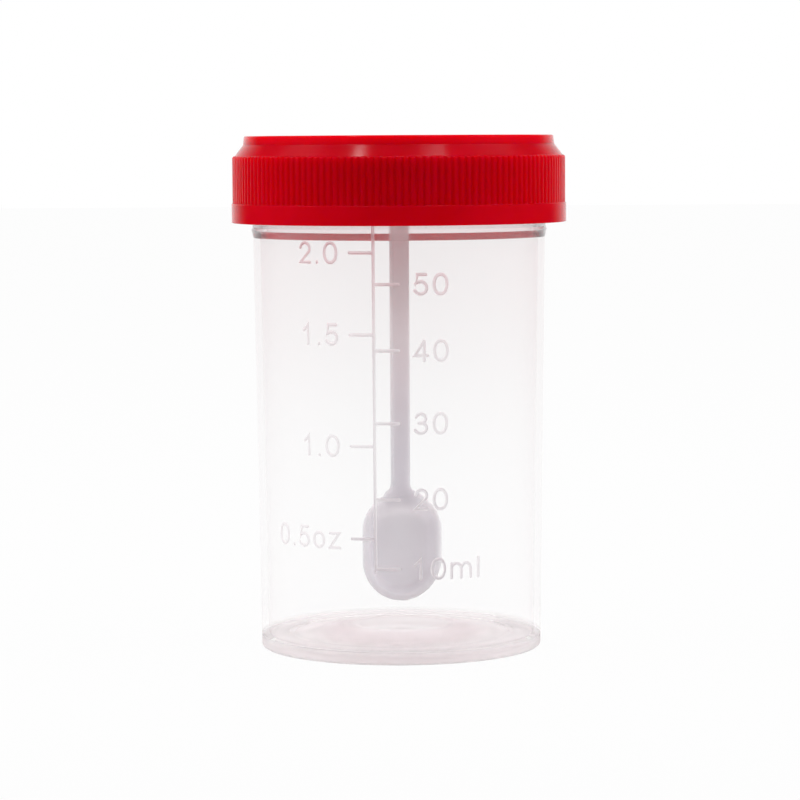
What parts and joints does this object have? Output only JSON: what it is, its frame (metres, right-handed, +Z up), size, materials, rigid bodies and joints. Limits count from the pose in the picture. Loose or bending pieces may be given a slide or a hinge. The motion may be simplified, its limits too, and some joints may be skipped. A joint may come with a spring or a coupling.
{
  "type": "specimen container",
  "caption": "Clear graduated plastic cup with a ribbed red screw lid and a sampling spoon fixed under the lid.",
  "frame": {"origin": "centre of the base plane that the cup stands on", "axes": "+Z up along the cup's axis; -Y is the graduated front, +X to its right"},
  "size_m": [0.045, 0.045, 0.0689],
  "materials": {
    "clear_plastic": "smooth moulded, translucent",
    "red_plastic": "smooth moulded, glossy",
    "natural_plastic": "smooth moulded, milky"
  },
  "bodies": {
    "cup": {"container": "clear_plastic"},
    "lid": {"screw_cap": "red_plastic", "spoon": "natural_plastic"}
  },
  "joints": [
    {"name": "lid_lift", "type": "slide", "parent": "cup", "child": "lid", "axis": [0, 0, 1], "range_m": [0, 0.072]}
  ]
}
